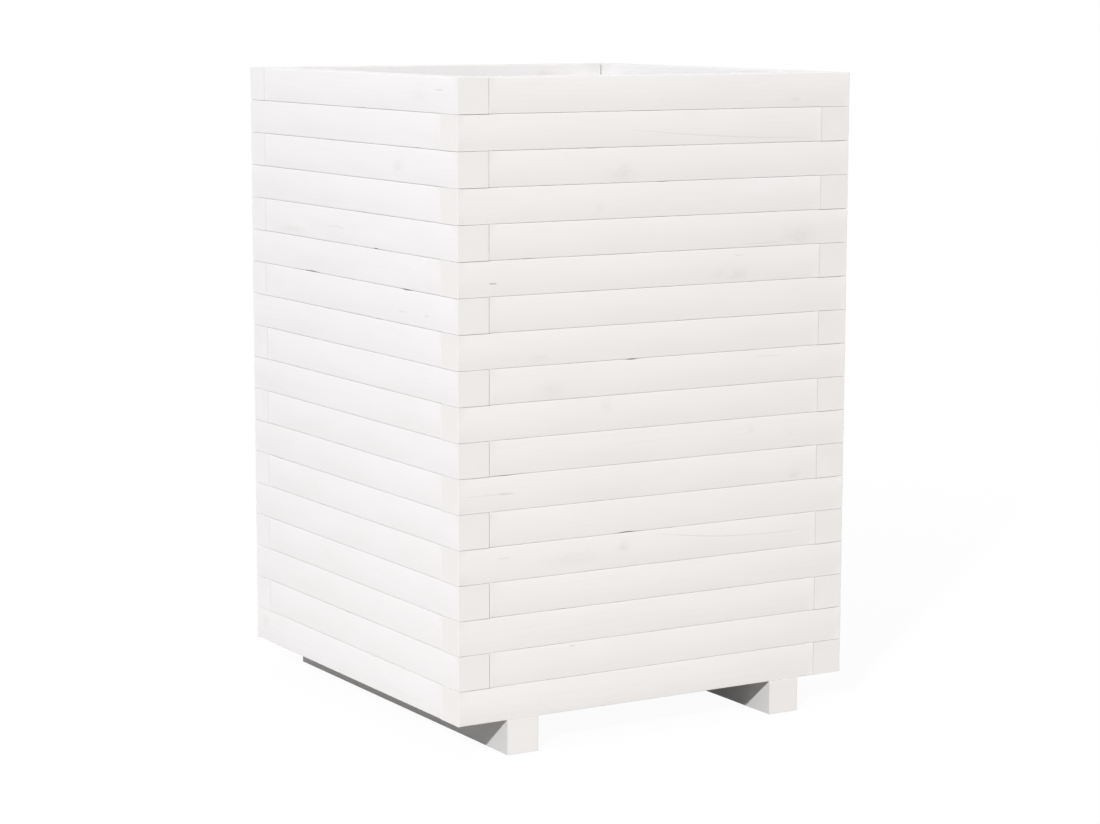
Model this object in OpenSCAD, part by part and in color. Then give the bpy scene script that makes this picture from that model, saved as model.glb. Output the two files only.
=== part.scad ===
// Square wooden planter. Its walls are courses of square slats, laid like logs so that the
// ends cross over at the corners, and the whole box stands on two runners.
// Origin: centre of the footprint, on the ground. +Z is up and the front faces -Y.

/* [Walls] */
// Width of the planter, left to right
outer_w = 495; // [420:5:600]
// Depth of the planter, front to back
outer_d = 495; // [420:5:600]
// Number of courses in a wall
courses = 18; // [6:1:18]
// Height of one course
slat_h = 37.6; // [36:0.1:44]
// Thickness of a slat, from its outer face to its inner face
slat_t = 37.2; // [32:0.1:44]
// Radius of the eased edges of a slat
slat_ease = 1.2; // [0.6:0.1:3]
// Open joint where the end of a slat butts against its neighbour
joint_gap = 0.4; // [0.1:0.1:1]

/* [Corner posts] */
// Side of the square post in each inner corner
post_w = 37; // [32:0.5:44]
// Distance from the rim down to the top of a post
post_drop = 20; // [10:0.5:22]
// Radius of the eased edges of a post
post_ease = 1.5; // [0.8:0.1:3]

/* [Floor] */
// Width of a floor board
board_w = 76; // [60:1:90]
// Thickness of a floor board
board_t = 18; // [15:0.5:22]
// Least gap between floor boards, where water drains
drain_gap_min = 6; // [5:0.5:9]
// Clearance between the end of a floor board and the wall
board_end_gap = 1.5; // [0.5:0.1:3]
// Radius of the eased edges of a floor board
board_ease = 1.5; // [0.8:0.1:3]

/* [Runners] */
// Width of a runner
runner_w = 38; // [34:0.5:46]
// Height of a runner
runner_h = 38.2; // [32:0.1:44]
// Distance from the outer face of a side wall to the outer side of its runner
runner_inset = 59; // [56:1:70]
// Radius of the eased edges of a runner
runner_ease = 1.2; // [0.6:0.1:3]

/* [Screws] */
// Length of the screws that go into the slats
wall_screw_l = 60; // [56:1:64]
// Length of the screws that hold the floor boards on the runners
floor_screw_l = 40; // [34:1:45]
// Diameter of the smooth shank
shank_d = 4.5; // [4:0.1:5]
// Diameter of the core inside the thread
core_d = 3.2; // [2.8:0.1:3.6]
// Diameter of the countersunk head
head_d = 8.8; // [8:0.1:9.4]
// Thickness of the head's straight rim
head_rim = 0.6; // [0.4:0.1:1]
// Length of the point
point_l = 5; // [3:0.5:7]
// Depth of a head below the surface around it
head_sink = 0.4; // [0.2:0.1:1]
// Length by which the shank ends short of the piece that the thread bites
shank_short = 1; // [0.5:0.1:2]
// Clearance all round a head, shank or core in its hole
hole_clear = 0.1; // [0.05:0.01:0.2]
// Height between the two screws that cross in a post at each course
screw_step = 8; // [7:0.5:10]
// Least distance from a screw's axis to the end of its post
post_margin = 5.5; // [5:0.5:7]
// Diameter of the counterbores under a runner
counterbore_d = 11; // [10.5:0.5:14]
// Depth of the counterbores under a runner
counterbore_l = 8; // [6:0.5:12]
// Distance between the two screws at a runner's end, both along it and across it
runner_screw_step = 17; // [14:0.5:18]
// Distance from the edge of a floor board to its screws
board_margin = 16; // [12:1:20]
// Distance of the floor screws from the middle of the runner, towards the planter's middle
floor_screw_shift = 4; // [3:0.5:6]

/* [Hidden] */
inner_w = outer_w - 2 * slat_t;
inner_d = outer_d - 2 * slat_t;
rim_z = runner_h + courses * slat_h;
floor_z = runner_h + board_t;
post_top = rim_z - post_drop;
board_count = floor((inner_d - drain_gap_min) / (board_w + drain_gap_min));
drain_gap = (inner_d - board_count * board_w) / (board_count + 1);
runner_x = outer_w / 2 - runner_inset - runner_w / 2;
wall_screw_bite = head_sink + wall_screw_l - post_w;
runner_screw_bite = counterbore_l + wall_screw_l - runner_h;
floor_screw_bite = head_sink + floor_screw_l - board_t;
// How far a cut runs on past the surface that it opens
overcut = 1;
edge_fn = 32;
screw_fn = 24;

// Walls and corners are numbered round the planter from the front, seen from above, and
// corner n is at the left end of wall n for someone who faces that wall.
CORNERS = ["front_left", "front_right", "back_right", "back_left"];
SIDES = ["left", "right"];
PAIRS = ["front_back", "left_right"];

function two_digits(n) = n < 10 ? str("0", n) : str(n);
function course_name(course, pair) = str("course_", two_digits(course), "_", PAIRS[pair]);

// Outside length of a wall, and how far its outer face stands from the planter's middle
function wall_run(wall) = wall % 2 == 0 ? outer_w : outer_d;
function wall_reach(wall) = (wall % 2 == 0 ? outer_d : outer_w) / 2;

// Courses are counted down from the rim. This is the underside of one.
function course_z(course) = rim_z - course * slat_h;

// End of the wall that the slats of a course run out to: 1 is the right, and -1 is the left.
// It changes from course to course, which locks the corners.
function long_end(course) = course % 2 == 0 ? -1 : 1;

// The two screws of a course cross in the post at half its height, or as near to that as
// the ends of the post let them.
function crossing_z(course) =
    let (room = post_margin + screw_step / 2)
    min(max(course_z(course) + slat_h / 2, floor_z + room), post_top - room);
function wall_screw_z(course, wall) =
    crossing_z(course) + (wall % 2 == 0 ? 1 : -1) * screw_step / 2;

function board_y(n) = -inner_d / 2 + drain_gap + board_w / 2 + (n - 1) * (drain_gap + board_w);

// Rectangle about the origin, with round corners
module eased_rectangle(w, h, r) {
    square([w - 2 * r, h], center = true);
    square([w, h - 2 * r], center = true);
    for (x = [-1, 1], y = [-1, 1])
        translate([x * (w / 2 - r), y * (h / 2 - r)])
            circle(r, $fn = edge_fn);
}

// Planed bar about the origin, with every edge eased
module eased_bar(size, r) {
    intersection() {
        linear_extrude(size[2], center = true)
            eased_rectangle(size[0], size[1], r);
        rotate([90, 0, 0])
            linear_extrude(size[1], center = true)
                eased_rectangle(size[0], size[2], r);
        rotate([0, 90, 0])
            linear_extrude(size[0], center = true)
                eased_rectangle(size[2], size[1], r);
    }
}

// Countersunk wood screw, from the top of its head at the origin up to its point
module screw(length, shank_l) {
    cone_h = (head_d - shank_d) / 2;
    rotate_extrude($fn = screw_fn)
        polygon([
            [0, 0],
            [head_d / 2, 0],
            [head_d / 2, head_rim],
            [shank_d / 2, head_rim + cone_h],
            [shank_d / 2, shank_l],
            [core_d / 2, shank_l],
            [core_d / 2, length - point_l],
            [0, length]]);
}

// Countersunk hole that clears such a screw, for a piece that its head holds down
module clearance_hole(depth) {
    head_r = head_d / 2 + hole_clear;
    shank_r = shank_d / 2 + hole_clear;
    rotate_extrude($fn = screw_fn)
        polygon([
            [0, -head_sink - overcut],
            [head_r, -head_sink - overcut],
            [head_r, head_rim],
            [shank_r, head_rim + head_r - shank_r],
            [shank_r, depth + overcut],
            [0, depth + overcut]]);
}

// Blind hole for the threaded part, from the surface at the origin
module pilot_hole(depth) {
    translate([0, 0, -overcut])
        cylinder(depth + overcut + hole_clear, r = core_d / 2 + hole_clear, $fn = screw_fn);
}

// Turns children made for the front wall to another wall.
module at_wall(wall) {
    rotate(90 * wall) children();
}

// One screw place of a wall, pointing outwards, at a depth below the inner face of its post.
// The post is at the wall's left end where end is -1, and at its right end where end is 1.
module at_wall_screw(course, wall, end, depth) {
    at_wall(wall)
        translate([
            end * (wall_run(wall) / 2 - slat_t - post_w / 2),
            -wall_reach(wall) + slat_t + post_w - depth,
            wall_screw_z(course, wall)])
            rotate([90, 0, 0]) children();
}

// Screw places of the post in a corner, where the left end of one wall meets the right end
// of the wall before it
module at_post_screws(corner) {
    for (course = [1 : courses]) {
        at_wall_screw(course, corner, -1, head_sink) children();
        at_wall_screw(course, corner + 3, 1, head_sink) children();
    }
}

// Screw places of a runner, on the seats of its counterbores, pointing up into the walls
module at_runner_screws(side) {
    for (end = [-1, 1], step = [-1, 1])
        translate([
            side * runner_x + step * runner_screw_step / 2,
            end * (outer_d / 2 - slat_t / 2 + step * runner_screw_step / 2),
            counterbore_l])
            children();
}

// Screw places of a floor board over one runner, pointing down
module at_board_screws(n, side) {
    for (edge = [-1, 1])
        translate([
            side * (runner_x - floor_screw_shift),
            board_y(n) + edge * (board_w / 2 - board_margin),
            floor_z - head_sink])
            rotate([180, 0, 0]) children();
}

// One slat of a wall, in place. It runs out to one end of the wall and stops short of the
// other, where the slat of the next wall runs out instead.
module slat(course, wall) {
    short = slat_t + joint_gap;
    difference() {
        at_wall(wall)
            translate([
                long_end(course) * short / 2,
                -wall_reach(wall) + slat_t / 2,
                course_z(course) + slat_h / 2])
                eased_bar([wall_run(wall) - short, slat_t, slat_h], slat_ease);
        for (end = [-1, 1])
            at_wall_screw(course, wall, end, post_w)
                pilot_hole(wall_screw_bite);
        if (course == courses && wall % 2 == 0)
            for (side = [-1, 1])
                at_runner_screws(side)
                    translate([0, 0, runner_h - counterbore_l])
                        pilot_hole(runner_screw_bite);
    }
}

// The two slats of a course that face each other
module slat_pair(course, pair) {
    color("white")
        for (wall = [pair, pair + 2]) slat(course, wall);
}

// Post in an inner corner, which stands on the floor and ties the courses together
module post(corner) {
    run = post_top - floor_z;
    color("white")
        difference() {
            at_wall(corner)
                translate([
                    -wall_run(corner) / 2 + slat_t + post_w / 2,
                    -wall_reach(corner) + slat_t + post_w / 2,
                    floor_z + run / 2])
                    eased_bar([post_w, post_w, run], post_ease);
            at_post_screws(corner) clearance_hole(post_w);
        }
}

module post_screws(corner) {
    color("silver")
        at_post_screws(corner) screw(wall_screw_l, post_w - shank_short);
}

// Floor board, which lies inside the walls, from side to side across both runners
module floor_board(n) {
    color("white")
        difference() {
            translate([0, board_y(n), runner_h + board_t / 2])
                eased_bar([inner_w - 2 * board_end_gap, board_w, board_t], board_ease);
            for (side = [-1, 1])
                at_board_screws(n, side) clearance_hole(board_t);
        }
}

module floor_screws() {
    color("silver")
        for (n = [1 : board_count], side = [-1, 1])
            at_board_screws(n, side) screw(floor_screw_l, board_t - shank_short);
}

// Runner under the box, flush with the front and the back. side is -1 on the left.
module runner(side) {
    color("white")
        difference() {
            translate([side * runner_x, 0, runner_h / 2])
                eased_bar([runner_w, outer_d, runner_h], runner_ease);
            at_runner_screws(side) {
                clearance_hole(runner_h);
                translate([0, 0, -counterbore_l - overcut])
                    cylinder(counterbore_l + overcut, d = counterbore_d, $fn = screw_fn);
            }
            for (n = [1 : board_count])
                at_board_screws(n, side)
                    translate([0, 0, board_t - head_sink])
                        pilot_hole(floor_screw_bite);
        }
}

module runner_screws() {
    color("silver")
        for (side = [-1, 1])
            at_runner_screws(side)
                screw(wall_screw_l, runner_h - counterbore_l - shank_short);
}

for (course = [1 : courses], pair = [0, 1])
    slat_pair(course, pair);
for (n = [0 : 3]) {
    post(n);
    post_screws(n);
}
for (n = [1 : board_count])
    floor_board(n);
floor_screws();
for (n = [0, 1])
    runner(2 * n - 1);
runner_screws();
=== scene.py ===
import math
import random

import bpy
from mathutils import Euler, Matrix, Vector


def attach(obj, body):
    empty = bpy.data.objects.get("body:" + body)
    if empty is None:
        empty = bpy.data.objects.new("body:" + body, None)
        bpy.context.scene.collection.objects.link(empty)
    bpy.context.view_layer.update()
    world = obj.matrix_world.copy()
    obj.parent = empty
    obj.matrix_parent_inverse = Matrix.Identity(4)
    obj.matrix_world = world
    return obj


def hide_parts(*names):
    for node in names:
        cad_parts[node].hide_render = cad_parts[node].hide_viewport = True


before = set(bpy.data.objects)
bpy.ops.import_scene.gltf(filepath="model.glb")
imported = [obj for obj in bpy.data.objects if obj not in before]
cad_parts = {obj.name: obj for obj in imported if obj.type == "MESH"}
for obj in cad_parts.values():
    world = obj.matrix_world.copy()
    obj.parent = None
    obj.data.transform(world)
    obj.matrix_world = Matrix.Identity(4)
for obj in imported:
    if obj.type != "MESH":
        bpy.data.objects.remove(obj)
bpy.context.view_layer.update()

# The wall slats
# Planed pine about 37 mm square, with eased edges, laid in 18 courses like logs so that the
# ends cross over at the corners. They are screwed to the corner posts from inside, and were
# painted once the box was together. The seams between them are darkened with painted shade.

MM = 0.001
OUTER = 495 * MM
RIM_Z = 715 * MM
COURSES = 18
SLAT_HEIGHT = 37.6 * MM
SLAT_THICKNESS = 37.2 * MM
# The slats just touch, and so do most of their ends. Only the joints in the odd courses of
# the front and back stand open.
SEAM_GAP = 0.03 * MM
JOINTS = {
    "front_back": {"odd": 0.55 * MM, "even": 0.05 * MM},
    "left_right": {"odd": 0.12 * MM, "even": 0.03 * MM},
}
# How much painted shade darkens the seams: less in those of the front and back
SEAM_SHADE_SHARE = {"front_back": 0.1, "left_right": 1.0}
# How thirsty the sawn ends were, on the slats of the front, right, back and left wall
THIRST = (1.5, 0.2, 0.0, 0.85)
# One joint inside the rim, at the back on the right, stands further open
WIDE_JOINT = 1.3 * MM
# How far a slat's outer face falls back from its middle to its top and bottom edges, and how
# far from its ends it has its full crown
CROWN = {"front_back": 0.78 * MM, "left_right": 0.65 * MM}
CROWN_START = 7 * MM
# How far the edges wander along the seams, and how far the faces rise and fall
SLAT_SHAPE = {
    "Eased edge": 0.45 * MM,
    "Eased end": 0.18 * MM,
    "Seam wander": 0.08 * MM,
    "Face relief": 0.15 * MM,
}
# How far from an inner corner the painted shade of the corner reaches
CORNER_REACH = 45 * MM
# The growth rings, how far their pith wanders, and how far a knot pushes them aside
RING_WIDTH = 2.6 * MM
PITH_DRIFT = 16 * MM
KNOT_PUSH = 5 * MM

PAINT = "F0EEED"
PAINT_THIN = "EAE7E5"
# Painted shade inside the box, and deeper painted shade in its inner corners and on the runners'
# long sides
INSIDE_SHADE = "E3E2E2"
CORNER_SHADE = "D4D3D2"
SAWN_END = "EBE8E5"
# Painted shade in the seams between the slats
SEAM_SHADE = "8F857D"
KNOT_GLOW = "DFD4D2"
KNOT_HEART = "BDB2B1"
CRACK = "8E8078"


def hex_colour(text):
    """An sRGB hex colour as linear red, green, blue and alpha."""
    parts = [int(text[i:i + 2], 16) / 255 for i in (0, 2, 4)]
    linear = [p / 12.92 if p <= 0.04045 else ((p + 0.055) / 1.055) ** 2.4 for p in parts]
    return (*linear, 1.0)


def add(tree, kind, inputs=(), out=0, **settings):
    """Adds a node with its settings and answers one of its outputs. The inputs are a list in
    the order of the sockets in use, with None for one that is left alone, or a dict by name."""
    made = tree.nodes.new(kind)
    for name, value in settings.items():
        setattr(made, name, value)
    if isinstance(inputs, dict):
        pairs = [(made.inputs[name], value) for name, value in inputs.items()]
    else:
        pairs = list(zip([s for s in made.inputs if s.enabled], inputs))
    for socket, value in pairs:
        if isinstance(value, bpy.types.NodeSocket):
            tree.links.new(value, socket)
        elif value is not None:
            socket.default_value = value
    if isinstance(out, str):
        return made.outputs[out]
    in_use = [s for s in made.outputs if s.enabled]
    return in_use[out] if in_use else made


def split(tree, vector):
    """The three parts of a vector socket."""
    return add(tree, "ShaderNodeSeparateXYZ", [vector]).node.outputs[:3]


def sums(tree):
    """What adds sums to a tree: on numbers, on vectors, and a soft step between two numbers."""
    def maths(operation, *inputs, clamp=False):
        return add(tree, "ShaderNodeMath", inputs, operation=operation, use_clamp=clamp)

    def vectors(operation, *inputs, out=0):
        return add(tree, "ShaderNodeVectorMath", inputs, out=out, operation=operation)

    def smooth(value, low, high, bottom=0.0, top=1.0):
        return add(tree, "ShaderNodeMapRange", [value, low, high, bottom, top],
                   interpolation_type="SMOOTHSTEP")

    return maths, vectors, smooth


MARKS = ("knot_a", "knot_b", "line_a", "line_b")


def painted_pine(name, inside_shade=0.0, gloss=0.42):
    """Satin white paint, brushed over planed pine. The paint fills the pores, but the hard late
    wood of the rings stands up in faint lines, knots bleed through a little, and the sawn ends
    have drunk the paint, so they look creamier and duller. The seams get painted shade. Inside
    the box the paint is darkened with painted shade, more in the inner corners. Where
    inside_shade is 1, the whole bar gets the painted shade of the inside."""
    material = bpy.data.materials.new(name)
    material.use_nodes = True
    tree = material.node_tree
    tree.nodes.clear()
    maths, vectors, smooth = sums(tree)

    def read(attribute):
        return add(tree, "ShaderNodeAttribute", out="Vector", attribute_name=attribute)

    def noise(vector, cells, detail, out=0):
        return add(tree, "ShaderNodeTexNoise", [vectors("MULTIPLY", vector, cells), 1.0, detail,
                                                0.55], out=out)

    # Growth rings round a pith that wanders to both sides of its line
    timber = read("timber")
    drift = vectors("SUBTRACT", noise(timber, (2.2, 16, 16), 2.0, out="Color"), (0.5, 0.5, 0.5))
    wood = vectors("MULTIPLY_ADD", drift, (0, PITH_DRIFT, PITH_DRIFT), timber)
    radius = vectors("LENGTH", vectors("MULTIPLY", wood, (0, 1, 1)), out="Value")

    # Knots and cracks: each attribute is a place in units of the mark's size, and its strength.
    # Ripples a few millimetres wide fray their outlines, and finer specks break up the hearts.
    ripple = noise(timber, (90, 170, 170), 3.0)
    speck = noise(timber, (180, 420, 420), 2.0)
    heart, glow, crack = 0.0, 0.0, 0.0
    for mark in MARKS:
        along, up, strength = split(tree, read(mark))
        if mark.startswith("knot"):
            away = vectors("LENGTH", add(tree, "ShaderNodeCombineXYZ", [along, up]), out="Value")
            away = maths("MULTIPLY_ADD", maths("SUBTRACT", ripple, 0.5), 2.2, away)
            inner = maths("MULTIPLY", smooth(away, 1.3, 0.4), strength)
            inner = maths("MULTIPLY", inner, smooth(speck, 0.35, 0.65, 0.3, 1.4))
            heart = maths("ADD", heart, inner)
            glow = maths("MULTIPLY_ADD", smooth(away, 2.6, 0.8), strength, glow)
        else:
            up = maths("SUBTRACT", maths("MULTIPLY_ADD", ripple, 2.0, up), 1.0)
            thin = maths("MULTIPLY", smooth(maths("ABSOLUTE", up), 1.2, 0.2), strength)
            ends = smooth(maths("ABSOLUTE", along), 1.0, 0.5)
            crack = maths("MULTIPLY_ADD", thin, ends, crack)

    # The rings bend round a knot. Each has soft early wood, then a narrow line of late wood.
    bent = maths("MULTIPLY_ADD", glow, KNOT_PUSH, radius)
    ring = maths("FRACT", maths("DIVIDE", bent, RING_WIDTH))
    late = add(tree, "ShaderNodeFloatCurve", [1.0, ring])
    curve = late.node.mapping.curves[0]
    for x, y in ((0.5, 0.06), (0.86, 1.0), (0.94, 0.25)):
        curve.points.new(x, y)
    curve.points[0].location = (0.0, 0.0)
    curve.points[-1].location = (1.0, 0.0)
    late.node.mapping.update()

    # Fibres about 1 mm wide and 60 mm long, brush marks 3 mm wide that run with them, and
    # clouds a few centimetres long in the thickness of the film
    fibre = noise(timber, (16, 900, 900), 3.0)
    brush = noise(timber, (6, 260, 260), 3.0)
    cloud = noise(timber, (9, 34, 34), 2.0)

    # Where the film is thin: over the late wood, most of all on the sawn ends, and in cloudy
    # patches. Inside the box, painted shade darkens it as well.
    sawn, inside, seam = split(tree, read("coat"))
    corner = maths("SUBTRACT", inside, 1.0, clamp=True)
    inside = maths("ADD", inside, inside_shade, clamp=True)
    grain = maths("MULTIPLY_ADD", sawn, 0.25, 0.08)
    thin = maths("MULTIPLY_ADD", inside, 0.25, maths("MULTIPLY", late, grain))
    thin = maths("MULTIPLY_ADD", fibre, 0.12, thin)
    thin = maths("MULTIPLY_ADD", cloud, 0.50, thin)
    thin = add(tree, "ShaderNodeMapRange", [thin, 0.15, 0.60, 0.0, 0.8])
    colour = add(tree, "ShaderNodeMix", [thin, hex_colour(PAINT), hex_colour(PAINT_THIN)],
                 data_type="RGBA")
    # Over it: painted shade inside the box, deeper in the inner corners, then the sawn ends, knots,
    # cracks, and painted shade in the seams
    for share, text, most in ((inside, INSIDE_SHADE, 0.8), (corner, CORNER_SHADE, 1.0),
                              (sawn, SAWN_END, 0.7),
                              (glow, KNOT_GLOW, 0.28), (heart, KNOT_HEART, 0.18),
                              (crack, CRACK, 0.5), (seam, SEAM_SHADE, 0.22)):
        share = maths("MULTIPLY", share, most, clamp=True)
        colour = add(tree, "ShaderNodeMix", [share, colour, hex_colour(text)], data_type="RGBA")

    # Heights in tenths of a millimetre: raised late wood, fibres, brush marks, sunken cracks
    height = maths("MULTIPLY", late, 0.16)
    height = maths("MULTIPLY_ADD", fibre, 0.28, height)
    height = maths("MULTIPLY_ADD", brush, 0.4, height)
    height = maths("MULTIPLY_ADD", heart, 0.7, height)
    height = maths("MULTIPLY_ADD", crack, -1.6, height)
    normal = add(tree, "ShaderNodeBump", {"Height": height, "Distance": 0.1 * MM, "Strength": 1.0})

    rough = add(tree, "ShaderNodeMapRange", [cloud, 0.3, 0.7, gloss - 0.04, gloss + 0.05])
    rough = maths("MULTIPLY_ADD", maths("ADD", sawn, inside), 0.2, rough)
    surface = add(tree, "ShaderNodeBsdfPrincipled", {
        "Base Color": colour, "Roughness": rough, "Normal": normal,
        "IOR": 1.5, "Specular IOR Level": 0.5})
    add(tree, "ShaderNodeOutputMaterial", {"Surface": surface})
    return material


def new_tree(name, sizes):
    """A Geometry Nodes tree with its points, sizes and surface as named inputs."""
    tree = bpy.data.node_groups.new(name, "GeometryNodeTree")
    tree.is_modifier = True
    sockets = [("Points", "Geometry"), *((size, "Float") for size in sizes)]
    for socket, kind in (*sockets, ("Surface", "Material")):
        tree.interface.new_socket(socket, in_out="INPUT", socket_type="NodeSocket" + kind)
    tree.interface.new_socket("Made", in_out="OUTPUT", socket_type="NodeSocketGeometry")
    return tree, tree.nodes.new("NodeGroupInput").outputs


def soft_and_sharp(tree, geometry):
    """Smooth shading that breaks at edges of more than 50 degrees."""
    angle = add(tree, "GeometryNodeInputMeshEdgeAngle", out="Unsigned Angle")
    sharp = add(tree, "ShaderNodeMath", [angle, math.radians(50)], operation="GREATER_THAN")
    geometry = add(tree, "GeometryNodeSetShadeSmooth", {"Geometry": geometry})
    return add(tree, "GeometryNodeSetShadeSmooth", {
        "Geometry": geometry, "Selection": sharp, "Shade Smooth": False}, domain="EDGE")


def bar_tree():
    """Planed bars. A box of many faces gets its eased edges and its screw bores, and is set on
    the points. Then each bar gets its own timber, crown, wandering edges, chip, marks, coats of
    paint and painted shade."""
    tree, given = new_tree("planed_bars", (
        "Length", "Thickness", "Height", "Eased edge", "Eased end", "Crown", "Seam wander",
        "Face relief", "Bore radius", "Bore length"))
    maths, vectors, smooth = sums(tree)

    def stored(name, kind="FLOAT_VECTOR"):
        return add(tree, "GeometryNodeInputNamedAttribute", {"Name": name}, data_type=kind)

    def store(geometry, name, value):
        return add(tree, "GeometryNodeStoreNamedAttribute", {
            "Geometry": geometry, "Name": name, "Value": value},
            data_type="FLOAT_VECTOR", domain="POINT")

    # The box. Its faces along each axis are wide ones, with three narrow ones at both ends.
    faces = (104, 8, 12)
    box = add(tree, "GeometryNodeMeshCube", {
        "Size": (2, 2, 2), "Vertices X": faces[0] + 1, "Vertices Y": faces[1] + 1,
        "Vertices Z": faces[2] + 1})
    unit = add(tree, "GeometryNodeInputPosition")
    half_faces = [n / 2 for n in faces]
    size = add(tree, "ShaderNodeCombineXYZ", [given["Length"], given["Thickness"], given["Height"]])
    half = vectors("MULTIPLY", size, (0.5, 0.5, 0.5))
    edge, end = given["Eased edge"], given["Eased end"]
    ease = add(tree, "ShaderNodeCombineXYZ", [end, edge, edge])

    # Steps from the nearest side, and the distance that each step is worth: two round off the
    # edge, the third ends beside it
    steps = vectors("SUBTRACT", (1, 1, 1), vectors("ABSOLUTE", unit))
    steps = vectors("MULTIPLY", steps, half_faces)
    beside = 0.7 * MM
    wide = vectors("SUBTRACT", vectors("SUBTRACT", half, ease), (beside, beside, beside))
    wide = vectors("DIVIDE", wide, [n - 3 for n in half_faces])
    inset = vectors("MULTIPLY", wide, vectors("MAXIMUM", vectors("SUBTRACT", steps, (3, 3, 3)),
                                              (0, 0, 0)))
    for first, worth in ((0, vectors("MULTIPLY", ease, (0.293, 0.586, 0.586))),
                         (1, vectors("MULTIPLY", ease, (0.707, 0.414, 0.414))),
                         (2, (beside, beside, beside))):
        taken = vectors("SUBTRACT", steps, (first, first, first))
        taken = vectors("MINIMUM", vectors("MAXIMUM", taken, (0, 0, 0)), (1, 1, 1))
        inset = vectors("MULTIPLY_ADD", taken, worth, inset)

    # Long edges are rounded off, and the arrises of the sawn ends only just broken
    sharp = vectors("MULTIPLY", vectors("SIGN", unit), vectors("SUBTRACT", half, inset))
    core = vectors("SUBTRACT", half, vectors("MULTIPLY", ease, (0, 1, 1)))
    core = vectors("MINIMUM", vectors("MAXIMUM", sharp, vectors("SCALE", core, -1.0)), core)
    away = vectors("SUBTRACT", sharp, core)
    _, away_y, away_z = split(tree, vectors("ABSOLUTE", away))
    short = maths("MAXIMUM", maths("SUBTRACT", end, split(tree, inset)[0]), 0.0)
    arc = maths("SUBTRACT", maths("MULTIPLY", end, end), maths("MULTIPLY", short, short))
    arc = maths("SUBTRACT", end, maths("SQRT", arc))
    reach = maths("SUBTRACT", 1.0, maths("DIVIDE", arc, edge))
    reach = maths("MULTIPLY", reach, maths("MAXIMUM", away_y, away_z))
    out = vectors("SCALE", vectors("NORMALIZE", away), reach)
    bar = add(tree, "GeometryNodeSetPosition", {
        "Geometry": box, "Position": vectors("ADD", core, out)})

    # Round bores over the screw heads, on points given in the frame of the bar. Each reaches a
    # hair below the face of its head. They drop the facts that their points carry, because the
    # bar would take those for its own.
    below_face = 0.15 * MM
    sorted_out = add(tree, "GeometryNodeSeparateGeometry", {
        "Geometry": given["Points"], "Selection": stored("bore", "FLOAT")}).node.outputs
    bores, places = sorted_out["Selection"], sorted_out["Inverted"]
    drill = add(tree, "GeometryNodeMeshCylinder", {
        "Vertices": 20, "Radius": given["Bore radius"], "Depth": given["Bore length"]})
    outwards = maths("SUBTRACT", maths("MULTIPLY", given["Bore length"], 0.5), below_face)
    drill = add(tree, "GeometryNodeTransform", {
        "Geometry": drill, "Translation": add(tree, "ShaderNodeCombineXYZ", [0.0, 0.0, outwards])})
    drill = add(tree, "GeometryNodeInstanceOnPoints", {
        "Points": bores, "Instance": drill, "Rotation": stored("turn")})
    drill = add(tree, "GeometryNodeRealizeInstances", {"Geometry": drill})
    drill = add(tree, "GeometryNodeRemoveAttribute", {"Geometry": drill, "Name": "*"},
                pattern_mode="WILDCARD")
    bored = add(tree, "GeometryNodeMeshBoolean", {"Mesh 1": bar, "Mesh 2": drill},
                operation="DIFFERENCE", solver="EXACT")
    count = add(tree, "GeometryNodeAttributeDomainSize", {"Geometry": bores}, component="MESH")
    bar = add(tree, "GeometryNodeSwitch", {"Switch": count, "False": bar, "True": bored},
              input_type="GEOMETRY")
    bar = soft_and_sharp(tree, store(bar, "local", add(tree, "GeometryNodeInputPosition")))

    # One bar on each place, as real mesh
    bars = add(tree, "GeometryNodeInstanceOnPoints", {
        "Points": places, "Instance": bar, "Rotation": stored("turn"),
        "Scale": stored("scale")})
    bars = add(tree, "GeometryNodeRealizeInstances", {"Geometry": bars})
    local = stored("local")
    timber = vectors("ADD", local, stored("log"))
    along, deep, up = split(tree, local)
    half_x, half_y, half_z = split(tree, half)
    from_end = maths("SUBTRACT", half_x, maths("ABSOLUTE", along))
    from_edge = maths("SUBTRACT", half_z, maths("ABSOLUTE", up))
    up_share = maths("DIVIDE", up, half_z)

    # The crown draws the outer face in towards the top and bottom edges, and the inner face
    # less, but not at the joints
    crown = maths("MULTIPLY", given["Crown"], smooth(from_end, 0.0, CROWN_START))
    crown = maths("MULTIPLY", crown, maths("MULTIPLY", up_share, up_share))
    outer = maths("DIVIDE", deep, half_y)
    crown = maths("MULTIPLY", crown, maths("MINIMUM", outer, 0.3))
    moved = add(tree, "ShaderNodeCombineXYZ", [0.0, maths("MULTIPLY", crown, -1.0), 0.0])

    # The edges wander, and a chip is a short dip in one edge, which opens the seam there
    spot = add(tree, "ShaderNodeCombineXYZ", [along, maths("SIGN", up), stored("log")])
    spot = vectors("MULTIPLY", spot, (14, 5, 1))
    wander = add(tree, "ShaderNodeTexNoise", {"Vector": spot, "Scale": 1.0, "Detail": 3.0})
    chip_at, chip_long, chip_deep = split(tree, stored("chip"))
    off = maths("DIVIDE", maths("SUBTRACT", along, chip_at), chip_long)
    dip = maths("EXPONENT", maths("MULTIPLY", maths("MULTIPLY", off, off), -1.0))
    same_side = maths("GREATER_THAN", maths("MULTIPLY", chip_deep, up), 0.0)
    dip = maths("MULTIPLY", maths("MULTIPLY", dip, same_side), maths("ABSOLUTE", chip_deep))
    drop = maths("MULTIPLY_ADD", wander, given["Seam wander"], dip)
    drop = maths("MULTIPLY", drop, maths("MULTIPLY", up_share, maths("ABSOLUTE", up_share)))
    moved = vectors("ADD", moved, add(tree, "ShaderNodeCombineXYZ",
                                      [0.0, 0.0, maths("MULTIPLY", drop, -1.0)]))
    moved = add(tree, "ShaderNodeVectorRotate", {"Vector": moved, "Rotation": stored("turn")},
                rotation_type="EULER_XYZ")

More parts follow.
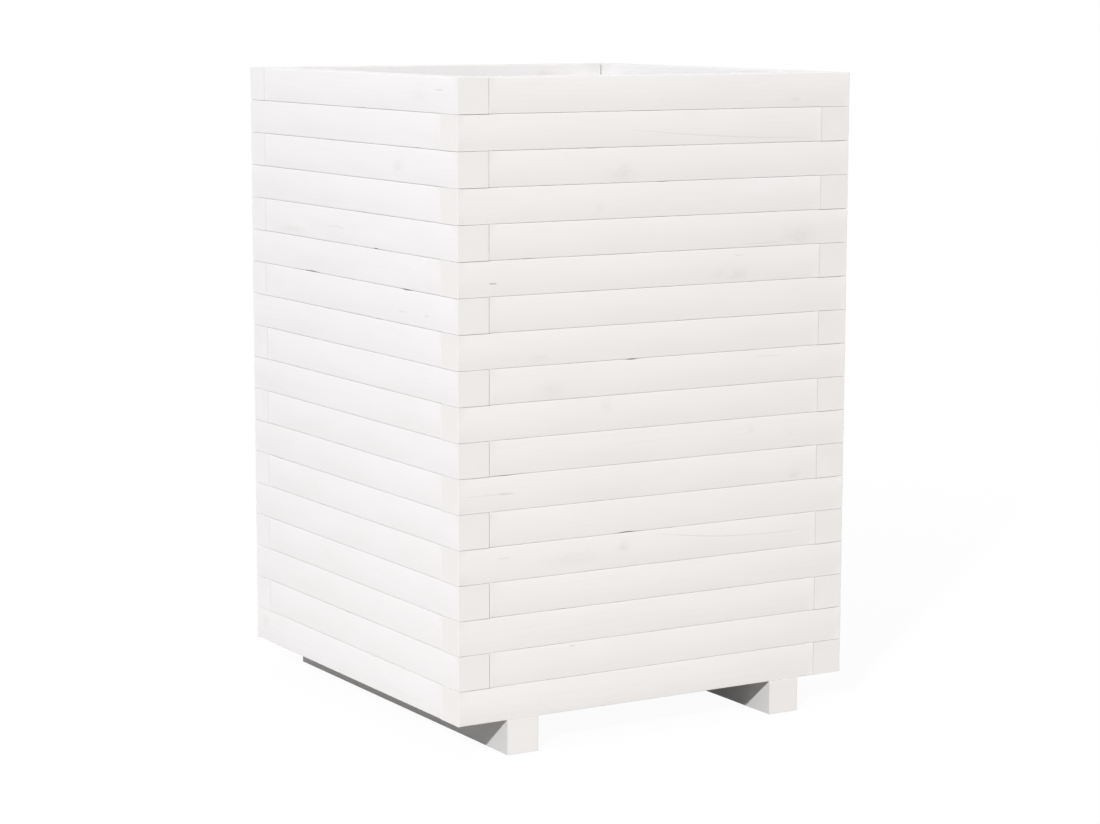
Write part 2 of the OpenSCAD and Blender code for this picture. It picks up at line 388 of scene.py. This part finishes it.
    # The faces rise and fall by a hair, always inwards
    slow = vectors("MULTIPLY", timber, (14, 40, 40))
    relief = add(tree, "ShaderNodeTexNoise", {"Vector": slow, "Scale": 1.0, "Detail": 2.0})
    relief = maths("MULTIPLY", maths("SUBTRACT", relief, 0.9), given["Face relief"])
    relief = vectors("SCALE", add(tree, "GeometryNodeInputNormal"), maths("MINIMUM", relief, 0.0))
    bars = add(tree, "GeometryNodeSetPosition", {
        "Geometry": bars, "Offset": vectors("ADD", moved, relief)})

    # Marks: where a point lies from each knot and crack, in units of its size
    for mark in MARKS:
        middle_x, middle_z, bend = split(tree, stored(mark + "_place"))
        span_x, half_long, half_high = split(tree, stored(mark + "_span"))
        off = maths("SUBTRACT", along, middle_x)
        rise = maths("MULTIPLY_ADD", maths("MULTIPLY", off, off), bend, middle_z)
        across = maths("DIVIDE", maths("SUBTRACT", up, rise), half_high)
        over = maths("DIVIDE", maths("SUBTRACT", along, span_x), half_long)
        bars = store(bars, mark, add(tree, "ShaderNodeCombineXYZ", [
            over, across, stored(mark + "_strength", "FLOAT")]))

    # Coats and painted shade: the sawn ends, painted shade on the inner face and more in its
    # corners, and painted shade in the seams. Each fades out over a fraction of a millimetre. A
    # corner is one thickness short of the end that laps the next wall. Where a bar has shaded
    # sides, both its long sides get the painted shade of an inner corner.
    above, below, thirst = split(tree, stored("seams"))
    side = maths("GREATER_THAN", up, 0.0)
    shaded_seam = maths("ADD", maths("MULTIPLY", above, side),
                 maths("MULTIPLY", below, maths("SUBTRACT", 1.0, side)))
    long_end = stored("long_end", "FLOAT")
    overlap = maths("GREATER_THAN", maths("MULTIPLY", along, long_end), 0.0)
    from_corner = maths("SUBTRACT", from_end, maths("MULTIPLY", overlap, given["Thickness"]))
    corner = smooth(from_corner, CORNER_REACH, 0.0)
    corner = maths("MULTIPLY", corner, maths("ABSOLUTE", long_end))
    shaded_sides = stored("shaded_sides", "FLOAT")
    corner = maths("MAXIMUM", corner, shaded_sides)
    inward = maths("MAXIMUM", deep, maths("MULTIPLY", maths("ABSOLUTE", deep), shaded_sides))
    inner = smooth(maths("SUBTRACT", half_y, inward), 0.8 * MM, 0.2 * MM)
    bars = store(bars, "coat", add(tree, "ShaderNodeCombineXYZ", [
        maths("MULTIPLY", thirst, smooth(from_end, 0.3 * MM, 0.08 * MM)),
        maths("MULTIPLY_ADD", inner, corner, inner),
        maths("MULTIPLY", shaded_seam, smooth(from_edge, 0.30 * MM, 0.12 * MM))]))
    bars = store(bars, "timber", timber)
    bars = add(tree, "GeometryNodeSetMaterial", {"Geometry": bars, "Material": given["Surface"]})
    add(tree, "NodeGroupOutput", {"Made": bars})
    return tree


def made_of_points(node, slot, tree, points, facts, **inputs):
    """The piece that a tree makes of points, which have a value or vector each by name. It is
    a plain mesh, and takes the place of the CAD node."""
    mesh = bpy.data.meshes.new(node + "_points")
    mesh.from_pydata(points, [], [])
    for name, values in facts.items():
        single = isinstance(values[0], float)
        layer = mesh.attributes.new(name, "FLOAT" if single else "FLOAT_VECTOR", "POINT")
        numbers = values if single else [part for value in values for part in value]
        layer.data.foreach_set("value" if single else "vector", numbers)
    piece = bpy.data.objects.new(node + "_made", mesh)
    bpy.context.scene.collection.objects.link(piece)
    maker = piece.modifiers.new("maker", "NODES")
    maker.node_group = tree
    for socket in tree.interface.items_tree:
        if socket.in_out == "INPUT" and socket.name in inputs:
            maker[socket.identifier] = inputs[socket.name]
    graph = bpy.context.evaluated_depsgraph_get()
    plain = bpy.data.meshes.new_from_object(
        piece.evaluated_get(graph), preserve_all_data_layers=True, depsgraph=graph)
    piece.modifiers.clear()
    piece.data = plain
    for name in [*facts, "local"]:
        if name in plain.attributes:
            plain.attributes.remove(plain.attributes[name])
    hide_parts(node)
    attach(piece, "root")


# Where a mark lies that a bar doesn't have, in millimetres
FAR_OFF = 900


def planed_bars(node, slot, bars, bores=(), **inputs):
    """The bars of one CAD node. Each is its middle and turn, and where it needs them its scale
    along its length, knots, cracks, chip, how much painted shade the seams above and below it
    get, the thirst of its ends, the end that laps the next wall, and 1 for long sides with
    painted shade. Marks are in millimetres. Bores are matrices in world space."""
    points = [bar["middle"] for bar in bars]
    facts = {name: [] for name in (
        "bore", "turn", "scale", "log", "chip", "seams", "long_end", "shaded_sides")}
    for mark in MARKS:
        for part in ("_place", "_span", "_strength"):
            facts[mark + part] = []
    for bar in bars:
        pith = Vector((chance.uniform(3, 90), 0, chance.uniform(25, 60) * MM))
        pith.rotate(Matrix.Rotation(chance.uniform(0, math.tau), 3, "X"))
        x, long, deep = bar.get("chip", (0, 1, 0))
        knots = [(x, z, 0, x, long, high, strength)
                 for x, z, long, high, strength in bar.get("knots", ())]
        nothing = [(0, FAR_OFF, 0, FAR_OFF, 1, 1, 0)] * 2
        facts["bore"].append(0.0)
        facts["turn"].append(bar["turn"])
        facts["log"].append(pith)
        facts["chip"].append((x * MM, long * MM, deep * MM))
        facts["seams"].append((*bar.get("seams", (0, 0)), bar.get("thirst", 1)))
        facts["scale"].append((bar.get("scale", 1), 1, 1))
        facts["long_end"].append(float(bar.get("long_end", 0)))
        facts["shaded_sides"].append(float(bar.get("shaded_sides", 0)))
        marks = (knots + nothing)[:2] + (list(bar.get("cracks", ())) + nothing)[:2]
        for mark, (x, z, bend, span_x, long, high, strength) in zip(MARKS, marks):
            facts[mark + "_place"].append((x * MM, z * MM, bend / MM))
            facts[mark + "_span"].append((span_x * MM, long * MM, high * MM))
            facts[mark + "_strength"].append(float(strength))
    frame_of_bar = Matrix.Translation(points[0]) @ Euler(bars[0]["turn"]).to_matrix().to_4x4()
    for bore in bores:
        place = frame_of_bar.inverted() @ bore
        points.append(place.translation)
        for name, values in facts.items():
            values.append(0.0 if isinstance(values[0], float) else (0, 0, 0))
        facts["bore"][-1] = 1.0
        facts["turn"][-1] = place.to_euler()
    made_of_points(node, slot, planed_bar, points, facts, **inputs)


# Marks that the photograph shows, in millimetres from the middle of the slat, which is seen
# from outside. A knot is (x, z, half length, half height, strength); a crack is (vertex x,
# vertex z, bend, middle x, half length, half height, strength); a chip is (x, half length,
# depth), and is in the lower edge where its depth is negative.
FRONT, RIGHT, BACK, LEFT = range(4)
KNOTS = {
    (FRONT, 1): [(156, -10.5, 5, 3, 0.4)],
    (FRONT, 3): [(-67.8, -8.4, 10, 6, 0.42)],
    (FRONT, 4): [(-58.6, -5.7, 6, 4, 0.2)],
    (FRONT, 5): [(162.7, -8.4, 17, 8, 0.4)],
    (FRONT, 6): [(95.4, -8.9, 7, 4, 0.32), (118.9, -10.1, 8, 4.5, 0.48)],
    (FRONT, 8): [(-132, -10.8, 6, 3, 0.3)],
    (FRONT, 9): [(-153.6, -7.9, 9, 6, 0.28)],
    (FRONT, 10): [(-48.1, 9.3, 4, 6, 0.38)],
    (FRONT, 11): [(101.3, 6.3, 4, 3, 0.25), (156, -1.9, 4, 3, 0.2)],
    (FRONT, 12): [(198.7, -12.1, 5, 4, 0.45)],
    (FRONT, 14): [(-25.7, 4.4, 6, 5, 0.5), (-86.7, -2.5, 20, 6, 0.25)],
    (LEFT, 1): [(146.9, -2.9, 8, 6, 0.2)],
    (LEFT, 3): [(100.2, -1.0, 8, 6, 0.3)],
    (LEFT, 5): [(-156.9, -11.7, 22, 4, 0.4)],
    (LEFT, 18): [(-207, 5, 7, 5, 0.3), (-165, 12, 12, 4, 0.15)],
}
CRACKS = {
    (FRONT, 2): [(228, -14, 0.000217, 97, 131, 0.6, 0.35)],
    (FRONT, 5): [(106, -15, 0, 112, 30, 0.9, 0.2)],
    (FRONT, 6): [(-187.2, -5.2, 0, -187.2, 5.5, 1.0, 1.0), (122, 10.6, 0.02, 122, 8, 0.9, 0.25)],
    (FRONT, 9): [(122.6, 10.6, 0, 122.6, 20, 0.9, 0.25)],
    (FRONT, 12): [(-192, -0.8, 0, -192, 33, 0.8, 0.2), (-171, -0.8, 0, -171, 12, 1.0, 0.35)],
    (FRONT, 14): [(175, 0.1, 0.00056, 115, 113, 0.7, 0.35), (-174, 5.9, 0, -174, 9, 0.8, 0.3)],
    (FRONT, 17): [(-127.3, 14.8, 0, -127.3, 4, 0.9, 0.5)],
    (LEFT, 1): [(190.2, 5.4, 0, 190.2, 9, 0.7, 0.6)],
    (LEFT, 5): [(-48, -1.0, -0.004, -48, 25, 0.9, 0.25)],
    (LEFT, 7): [(108.5, -5.6, 0, 108.5, 13, 0.8, 0.25), (162.5, -5.4, 0, 162.5, 6, 0.9, 0.4)],
}
CHIPS = {
    (FRONT, 9): (-53, 6, 0.95),
    (FRONT, 12): (-172.8, 9, 0.5),
    (FRONT, 13): (-58.7, 10, -1.0),
    (LEFT, 5): (46.9, 4, -0.7),
    (LEFT, 6): (-72.3, 15, -0.85),
    (LEFT, 7): (114.9, 9, 0.9),
}

chance = random.Random(495)
planed_bar = bar_tree()
satin_painted_pine = painted_pine("satin_painted_pine")
for course in range(1, COURSES + 1):
    for pair, walls in (("front_back", (FRONT, BACK)), ("left_right", (LEFT, RIGHT))):
        joint = JOINTS[pair]["odd" if course % 2 else "even"]
        length = OUTER - SLAT_THICKNESS - joint
        bars = []
        for wall in walls:
            long_end = -1 if course % 2 == 0 else 1
            wide = WIDE_JOINT - joint if (wall, course) == (BACK, 1) else 0.0
            middle = Vector((long_end * (OUTER - length + wide) / 2,
                             -(OUTER - SLAT_THICKNESS) / 2,
                             RIM_Z - (course - 0.5) * SLAT_HEIGHT))
            turn = (0, 0, math.radians(90 * wall))
            middle.rotate(Euler(turn))
            knots = list(KNOTS.get((wall, course), ()))
            cracks = list(CRACKS.get((wall, course), ()))
            if wall in (RIGHT, BACK):
                knots += [(chance.uniform(-215, 215), chance.uniform(-14, 14),
                           chance.uniform(4, 11), chance.uniform(3, 7), chance.uniform(0.2, 0.9))
                          for _ in range(chance.choice((0, 0, 1, 1, 2)))]
                cracks += [(x, chance.uniform(-12, 12), 0, x, chance.uniform(5, 30), 0.8,
                            chance.uniform(0.2, 0.5))
                           for x in [chance.uniform(-190, 190)] * chance.choice((0, 0, 1))]
            small = (chance.uniform(-215, 215), 5, chance.choice((0, 0, 0.3, -0.3)))
            bars.append({"middle": middle, "turn": turn, "knots": knots, "cracks": cracks,
                         "chip": CHIPS.get((wall, course), small),
                         "seams": (SEAM_SHADE_SHARE[pair] * (course > 1),
                                   SEAM_SHADE_SHARE[pair] * (course < COURSES)),
                         "thirst": THIRST[wall], "scale": 1 - wide / length,
                         "long_end": long_end})
        planed_bars(f"course_{course:02d}_{pair}", "painted_slats", bars,
                    Length=length, Thickness=SLAT_THICKNESS, Height=SLAT_HEIGHT - SEAM_GAP,
                    Crown=CROWN[pair], Surface=satin_painted_pine, **SLAT_SHAPE)

# The corner posts
# Square planed pine posts that stand on the floor in the four inner corners, 20 mm below the
# rim. Every slat is screwed to two of them, which is all that holds the walls together. The
# screw heads sit just under the surface, in bores.

POST_WIDTH = 37 * MM
POST_TOP = RIM_Z - 20 * MM
POST_FOOT = 56.2 * MM
POST_INSET = OUTER / 2 - SLAT_THICKNESS - POST_WIDTH / 2
HEAD_SINK = 0.4 * MM
# In a course the screws of the front and back sit above those of the sides, so that they
# pass each other
WALL_SCREW_STEP = 8 * MM
# How near to the top or foot of a post a screw may sit
NEXT_TO_AN_END = 9.5 * MM
POST_SHAPE = {
    "Eased edge": 1.2 * MM,
    "Eased end": 0.4 * MM,
    "Crown": 0.1 * MM,
    "Seam wander": 0.0,
    "Face relief": 0.25 * MM,
    "Bore radius": 4.7 * MM,
    "Bore length": 2 * MM,
}
CORNERS = ("front_left", "front_right", "back_right", "back_left")


def random_knots(most, reach_x, reach_z):
    """Up to so many knots within so many millimetres of the middle of a bar."""
    return [(chance.uniform(-reach_x, reach_x), chance.uniform(-reach_z, reach_z),
             chance.uniform(4, 10), chance.uniform(3, 7), chance.uniform(0.3, 0.9))
            for _ in range(chance.randint(1, most))]


def wall_screw(course, wall, end):
    """Where a wall screw has its head, at the left (-1) or right (1) end of a wall."""
    z = RIM_Z - (course - 0.5) * SLAT_HEIGHT
    z = min(max(z, POST_FOOT + NEXT_TO_AN_END), POST_TOP - NEXT_TO_AN_END)
    z += (1 if wall % 2 == 0 else -1) * WALL_SCREW_STEP / 2
    inner_face = -OUTER / 2 + SLAT_THICKNESS + POST_WIDTH - HEAD_SINK
    return (Matrix.Rotation(math.radians(90 * wall), 4, "Z")
            @ Matrix.Translation((end * POST_INSET, inner_face, z))
            @ Matrix.Rotation(-math.pi / 2, 4, "X"))


screws = {}
# The posts and floor boards get the painted shade of the inside all over
inside_paint = painted_pine("satin_painted_pine_inside", inside_shade=1.0, gloss=0.45)
for corner, name in enumerate(CORNERS):
    middle = Vector((-POST_INSET, -POST_INSET, (POST_TOP + POST_FOOT) / 2))
    middle.rotate(Matrix.Rotation(math.radians(90 * corner), 3, "Z"))
    heads = [wall_screw(course, wall, end) for course in range(1, COURSES + 1)
             for wall, end in ((corner, -1), ((corner + 3) % 4, 1))]
    screws["post_screws_" + name] = heads
    upright = {"middle": middle, "turn": (0, -math.pi / 2, 0), "knots": random_knots(2, 290, 12)}
    planed_bars("post_" + name, "painted_posts", [upright], heads,
                Length=POST_TOP - POST_FOOT, Thickness=POST_WIDTH, Height=POST_WIDTH,
                Surface=inside_paint, **POST_SHAPE)

# The floor
# Five planed boards lie on the runners with open gaps between them, where water drains.
# Each is held down by two screws over each runner.

BOARD_WIDTH = 76 * MM
BOARD_THICKNESS = 18 * MM
BOARD_END_GAP = 1.5 * MM
BOARD_LENGTH = OUTER - 2 * (SLAT_THICKNESS + BOARD_END_GAP)
DRAIN_GAP = 6.77 * MM
BOARD_SCREW_X = 165.5 * MM
BOARD_SCREW_Y = 22 * MM
BOARD_SHAPE = {**POST_SHAPE, "Eased edge": 1.3 * MM, "Face relief": 0.3 * MM}

screws["floor_screws"] = []
for n in range(1, 6):
    y = -OUTER / 2 + SLAT_THICKNESS + n * DRAIN_GAP + (n - 0.5) * BOARD_WIDTH
    middle = Vector((0, y, POST_FOOT - BOARD_THICKNESS / 2))
    heads = [Matrix.Translation((x, y + step, POST_FOOT - HEAD_SINK))
             for x in (-BOARD_SCREW_X, BOARD_SCREW_X) for step in (-BOARD_SCREW_Y, BOARD_SCREW_Y)]
    screws["floor_screws"] += heads
    board = {"middle": middle, "turn": (-math.pi / 2, 0, 0), "knots": random_knots(2, 190, 30)}
    planed_bars(f"floor_board_{n}", "painted_floor", [board], heads,
                Length=BOARD_LENGTH, Thickness=BOARD_THICKNESS, Height=BOARD_WIDTH,
                Surface=inside_paint, **BOARD_SHAPE)

# The runners
# Two square rails under the box, flush with the front and back, hold it off the ground. They
# are screwed up into the lowest slats, with the heads sunk in counterbores. Their long sides,
# under the box, are darkened with painted shade.

RUNNER_WIDTH = 38 * MM
RUNNER_HEIGHT = 38.2 * MM
RUNNER_X = 169.5 * MM
RUNNER_SCREW_STEP = 17 * MM
COUNTERBORE = 8 * MM
RUNNER_SHAPE = {
    "Eased edge": 0.6 * MM,
    "Eased end": 0.3 * MM,
    "Crown": 0.1 * MM,
    "Seam wander": 0.0,
    "Face relief": 0.15 * MM,
    "Bore radius": 5.5 * MM,
    "Bore length": COUNTERBORE + 1 * MM,
}

screws["runner_screws"] = []
for side, x in (("left", -RUNNER_X), ("right", RUNNER_X)):
    y = (OUTER - SLAT_THICKNESS) / 2
    step = RUNNER_SCREW_STEP / 2
    heads = [Matrix.Translation((x + s * step, end * (y + s * step), COUNTERBORE))
             @ Matrix.Rotation(math.pi, 4, "X") for end in (-1, 1) for s in (-1, 1)]
    screws["runner_screws"] += heads
    # The runner's long sides get painted shade
    runner = {"middle": Vector((x, 0, RUNNER_HEIGHT / 2)), "turn": (0, 0, math.pi / 2),
              "knots": random_knots(2, 200, 12), "thirst": 0.5, "shaded_sides": 1}
    planed_bars("runner_" + side, "painted_runners", [runner], heads,
                Length=OUTER, Thickness=RUNNER_WIDTH, Height=RUNNER_HEIGHT,
                Surface=satin_painted_pine, **RUNNER_SHAPE)

# The screws
# Bright zinc-plated countersunk wood screws with a cross recess, each left turned as it came:
# long ones into the slats, shorter ones through the floor boards into the runners.

WALL_SCREW = 60 * MM
FLOOR_SCREW = 40 * MM
SCREW_SIZES = {
    "Head radius": 4.4 * MM,
    "Rim": 0.6 * MM,
    "Shank radius": 2.25 * MM,
    "Core radius": 1.6 * MM,
    "Point": 5 * MM,
    "Recess width": 5.0 * MM,
    "Recess slot": 1.2 * MM,
    "Recess depth": 2.2 * MM,
}


def screw_tree():
    """Screws on the points, each with its flat head at the point and its shank below it."""
    tree, given = new_tree("cross_recess_screws", ("Length", *SCREW_SIZES))
    maths, vectors, _ = sums(tree)
    head, rim, shank, core = (given[name] for name in (
        "Head radius", "Rim", "Shank radius", "Core radius"))

    # A turned body: the head's face, its rim, the end of its cone, the thread, the tip
    cone = maths("ADD", rim, maths("SUBTRACT", head, shank))
    tip = 0.2 * MM
    rings = ((head, 0.0), (head, rim), (shank, cone),
             (core, maths("SUBTRACT", given["Length"], given["Point"])),
             (tip, given["Length"]))
    body = add(tree, "GeometryNodeMeshCylinder", {
        "Vertices": 12, "Side Segments": len(rings) - 1, "Radius": 1.0, "Depth": 2.0})
    x, y, z = split(tree, add(tree, "GeometryNodeInputPosition"))
    ring = maths("MULTIPLY", maths("SUBTRACT", 1.0, z), (len(rings) - 1) / 2)
    wide, deep = 0.0, 0.0
    for n, (radius, depth) in enumerate(rings):
        here = maths("COMPARE", ring, float(n), 0.1)
        wide = maths("MULTIPLY_ADD", here, radius, wide)
        deep = maths("MULTIPLY_ADD", here, depth, deep)
    body = add(tree, "GeometryNodeSetPosition", {"Geometry": body, "Position": add(
        tree, "ShaderNodeCombineXYZ", [maths("MULTIPLY", x, wide), maths("MULTIPLY", y, wide),
                                       maths("MULTIPLY", deep, -1.0)])})

    # The recess: two crossed slots that narrow towards their floor
    blade = add(tree, "GeometryNodeMeshCube", {"Size": (1, 1, 1)})
    x, y, z = split(tree, add(tree, "GeometryNodeInputPosition"))
    taper = maths("ADD", maths("MULTIPLY", z, 0.5), 0.75)
    blade = add(tree, "GeometryNodeSetPosition", {"Geometry": blade, "Position": add(
        tree, "ShaderNodeCombineXYZ", [
            maths("MULTIPLY", maths("MULTIPLY", x, taper), given["Recess width"]),
            maths("MULTIPLY", maths("MULTIPLY", y, taper), given["Recess slot"]),
            maths("MULTIPLY", z, maths("MULTIPLY", given["Recess depth"], 2.0))])})
    crossed = add(tree, "GeometryNodeTransform", {
        "Geometry": blade, "Rotation": (0, 0, math.pi / 2)})
    body = add(tree, "GeometryNodeMeshBoolean", {"Mesh 1": body, "Mesh 2": blade},
               operation="DIFFERENCE", solver="EXACT")
    body = add(tree, "GeometryNodeMeshBoolean", {"Mesh 1": body, "Mesh 2": crossed},
               operation="DIFFERENCE", solver="EXACT")
    body = soft_and_sharp(tree, body)
    turn = add(tree, "GeometryNodeInputNamedAttribute", {"Name": "turn"}, data_type="FLOAT_VECTOR")
    made = add(tree, "GeometryNodeInstanceOnPoints", {
        "Points": given["Points"], "Instance": body, "Rotation": turn})
    made = add(tree, "GeometryNodeRealizeInstances", {"Geometry": made})
    made = add(tree, "GeometryNodeSetMaterial", {"Geometry": made, "Material": given["Surface"]})
    add(tree, "NodeGroupOutput", {"Made": made})
    return tree


# Zinc plate: a bright metal with a fine grain, which shows faint bluish and yellowish patches
ZINC_BLUISH = "C6CACE"
ZINC_YELLOWISH = "BDBBAF"

zinc = bpy.data.materials.new("bright_zinc_plate")
zinc.use_nodes = True
tree = zinc.node_tree
tree.nodes.clear()
here = add(tree, "ShaderNodeTexCoord", out="Object")
fine = add(tree, "ShaderNodeTexNoise", {"Vector": here, "Scale": 900.0, "Detail": 3.0})
patch = add(tree, "ShaderNodeTexNoise", {"Vector": here, "Scale": 160.0, "Detail": 2.0})
tone = add(tree, "ShaderNodeMix", [patch, hex_colour(ZINC_BLUISH), hex_colour(ZINC_YELLOWISH)],
           data_type="RGBA")
rough = add(tree, "ShaderNodeMapRange", [fine, 0.3, 0.7, 0.30, 0.48])
normal = add(tree, "ShaderNodeBump", {"Height": fine, "Distance": 0.03 * MM})
surface = add(tree, "ShaderNodeBsdfPrincipled", {
    "Base Color": tone, "Metallic": 1.0, "Roughness": rough, "Normal": normal})
add(tree, "ShaderNodeOutputMaterial", {"Surface": surface})

cross_recess_screw = screw_tree()
for node, heads in screws.items():
    heads = [head @ Matrix.Rotation(chance.uniform(0, math.tau), 4, "Z") for head in heads]
    made_of_points(node, "zinc_screws", cross_recess_screw,
                   [head.translation for head in heads],
                   {"turn": [head.to_euler() for head in heads]},
                   Length=FLOOR_SCREW if node == "floor_screws" else WALL_SCREW, Surface=zinc,
                   **SCREW_SIZES)

# The studio
# A white sweep that the camera sees as plain white paper, one hard lamp from the upper left,
# in front, and soft light from all round, which is warmer low down on the right, in front.

# The soft light near the horizon, and how much weaker it is overhead
DOME_LIGHT = 0.635
DOME_FALL = 0.08
COOL_LIGHT = (0.965, 0.985, 1.045, 1.0)
WARM_LIGHT = (0.980, 0.940, 0.835, 1.0)
WARM_SIDE = (1, -1, -1)
KEY_WATTS = 1370
KEY_DISTANCE = 12.0
KEY_WIDTH = 0.5
KEY_COLOUR = (0.985, 0.985, 1.0)
KEY_BEAM = (1.435, 1.315, -1.0)
# The paper lies a hair under the runners. Round the planter it shows a trace of the shadow.
SWEEP_REACH = 9.0
SWEEP_Z = -0.3 * MM
FLOOR_SHADE = 0.045
PAPER_NEAR = 0.5
PAPER_FAR = 2.0
# What the paper throws back, near the planter and far from it
GREY_NEAR = "908D8A"
GREY_FAR = "505050"


def seen_plainly(tree):
    """1 for the rays that look at the white background, straight or in a reflection."""
    rays = add(tree, "ShaderNodeLightPath").node.outputs
    seen = add(tree, "ShaderNodeMath", [rays["Is Camera Ray"], rays["Is Glossy Ray"]],
               operation="MAXIMUM")
    return add(tree, "ShaderNodeMath", [seen, rays["Is Transmission Ray"]], operation="MAXIMUM")


world = bpy.data.worlds.new("studio")
bpy.context.scene.world = world
world.use_nodes = True
tree = world.node_tree
tree.nodes.clear()
seen = seen_plainly(tree)
toward = add(tree, "ShaderNodeTexCoord", out="Generated")
dome = add(tree, "ShaderNodeMapRange", [split(tree, toward)[2], 0.0, 1.0,
                                        DOME_LIGHT, DOME_LIGHT - DOME_FALL])
level = add(tree, "ShaderNodeMapRange", [seen, 0.0, 1.0, dome, 1.0])
warm = add(tree, "ShaderNodeVectorMath", [toward, Vector(WARM_SIDE).normalized()],
           out="Value", operation="DOT_PRODUCT")
warm = add(tree, "ShaderNodeMapRange", [warm, -1.0, 1.0, 0.0, 1.0])
tone = add(tree, "ShaderNodeMix", [warm, COOL_LIGHT, WARM_LIGHT], data_type="RGBA")
tone = add(tree, "ShaderNodeMix", [seen, tone, (1, 1, 1, 1)], data_type="RGBA")
sky = add(tree, "ShaderNodeBackground", {"Color": tone, "Strength": level})
add(tree, "ShaderNodeOutputWorld", {"Surface": sky})

sweep = bpy.data.meshes.new("studio_floor")
sweep.from_pydata([(x * SWEEP_REACH, y * SWEEP_REACH, SWEEP_Z)
                   for x, y in ((-1, -1), (1, -1), (1, 1), (-1, 1))], [], [(0, 1, 2, 3)])
floor = bpy.data.objects.new("studio_floor", sweep)
bpy.context.scene.collection.objects.link(floor)
paper = bpy.data.materials.new("white_sweep")
paper.use_nodes = True
tree = paper.node_tree
tree.nodes.clear()
seen = seen_plainly(tree)
white = add(tree, "ShaderNodeEmission", {"Color": (1, 1, 1, 1), "Strength": 1.0})
shaded = add(tree, "ShaderNodeBsdfDiffuse", {"Color": hex_colour("FFFFFF")})
away = add(tree, "ShaderNodeVectorMath", [add(tree, "ShaderNodeTexCoord", out="Object")],
           out="Value", operation="LENGTH")
near = add(tree, "ShaderNodeMapRange", [away, PAPER_NEAR, PAPER_FAR, 1.0, 0.0],
           interpolation_type="SMOOTHSTEP")
grey = add(tree, "ShaderNodeMix", [near, hex_colour(GREY_FAR), hex_colour(GREY_NEAR)],
           data_type="RGBA")
dull = add(tree, "ShaderNodeBsdfDiffuse", {"Color": grey})
share = add(tree, "ShaderNodeMath", [near, FLOOR_SHADE], operation="MULTIPLY")
shown = add(tree, "ShaderNodeMixShader", [share, white, shaded])
mixed = add(tree, "ShaderNodeMixShader", [seen, dull, shown])
add(tree, "ShaderNodeOutputMaterial", {"Surface": mixed})
sweep.materials.append(paper)

lamp = bpy.data.lights.new("key_lamp", "AREA")
lamp.shape = "DISK"
lamp.size = KEY_WIDTH
lamp.energy = KEY_WATTS
lamp.color = KEY_COLOUR
key = bpy.data.objects.new("key_lamp", lamp)
beam = Vector(KEY_BEAM).normalized()
key.location = Vector((0, 0, RIM_Z / 2)) - KEY_DISTANCE * beam
key.rotation_euler = beam.to_track_quat("-Z", "Y").to_euler()
bpy.context.scene.collection.objects.link(key)

# The camera
# A long lens a little above the rim, to the left of the front, looking a little down. Its
# place and its turns were fitted to the seams and corners in the photograph.

CAMERA_PLACE = (-1.6365, -2.7520, 0.7940)
# Radians: turned to the right of straight back, tilted down, and rolled
TURNED = 0.5395
TILTED = 0.1461
ROLLED = 0.002
SENSOR_WIDTH = 36
# The focal length, counted in widths of the picture
FOCAL_WIDTHS = 2807.2 / 1100

lens = bpy.data.cameras.new("photo_camera")
lens.sensor_width = SENSOR_WIDTH
lens.lens = SENSOR_WIDTH * FOCAL_WIDTHS
camera = bpy.data.objects.new("photo_camera", lens)
look = (Matrix.Rotation(-TURNED, 4, "Z") @ Matrix.Rotation(math.pi / 2 - TILTED, 4, "X")
        @ Matrix.Rotation(ROLLED, 4, "Z"))
camera.matrix_world = Matrix.Translation(CAMERA_PLACE) @ look
bpy.context.scene.collection.objects.link(camera)
bpy.context.scene.camera = camera

bpy.context.scene.view_settings.view_transform = "Standard"
